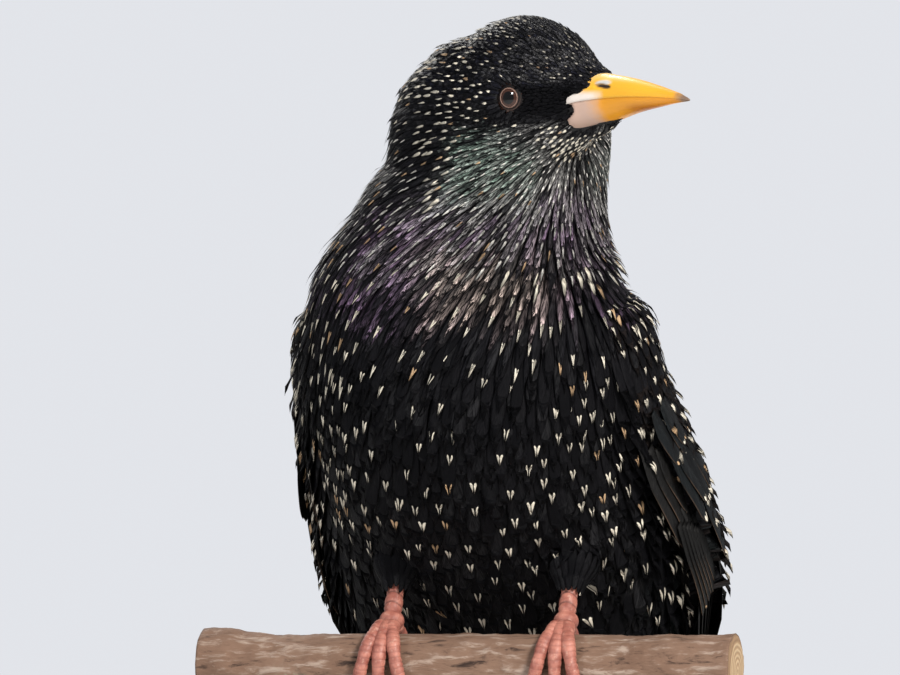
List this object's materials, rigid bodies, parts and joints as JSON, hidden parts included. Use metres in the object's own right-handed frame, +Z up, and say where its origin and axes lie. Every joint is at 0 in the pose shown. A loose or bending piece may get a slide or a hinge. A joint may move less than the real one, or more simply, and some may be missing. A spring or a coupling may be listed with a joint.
{
  "type": "common starling model",
  "caption": "Life-size still model of a spotted common starling, perched upright with its head turned, on a twig held over a round base by two rods.",
  "frame": {"origin": "middle of the underside of the round base", "axes": "+Z up, the bird's body faces -Y, its left side is +X"},
  "size_m": [0.116, 0.116, 0.2041],
  "materials": {
    "plumage": "soft black feathers with pale spots, green and purple sheen",
    "wing_feathers": "dark brown-black feather vanes with buff edges",
    "tail_feathers": "dark brown-black feather vanes with thin buff edges",
    "bill": "satin yellow horn, pinkish ivory at the base",
    "eyes": "wet gloss, dark brown with a paler outer ring",
    "legs": "matt pink-red scaly skin",
    "claws": "satin dark horn",
    "perch_bark": "rough bark with pale cut ends",
    "stand_rods": "satin aged brass",
    "stand_wood": "satin oiled dark wood"
  },
  "bodies": {
    "root": {"head": "plumage", "neck": "plumage", "torso": "plumage", "thigh_left": "plumage", "thigh_right": "plumage", "wing_left": "wing_feathers", "wing_right": "wing_feathers", "tail": "tail_feathers", "bill_upper": "bill", "bill_lower": "bill", "eye_left": "eyes", "eye_right": "eyes", "tarsus_left": "legs", "tarsus_right": "legs", "foot_left": "legs", "foot_right": "legs", "claw_inner_left": "claws", "claw_middle_left": "claws", "claw_outer_left": "claws", "claw_hind_left": "claws", "claw_inner_right": "claws", "claw_middle_right": "claws", "claw_outer_right": "claws", "claw_hind_right": "claws", "stand_perch": "perch_bark", "stand_rod_left": "stand_rods", "stand_rod_right": "stand_rods", "stand_base": "stand_wood"}
  },
  "joints": []
}
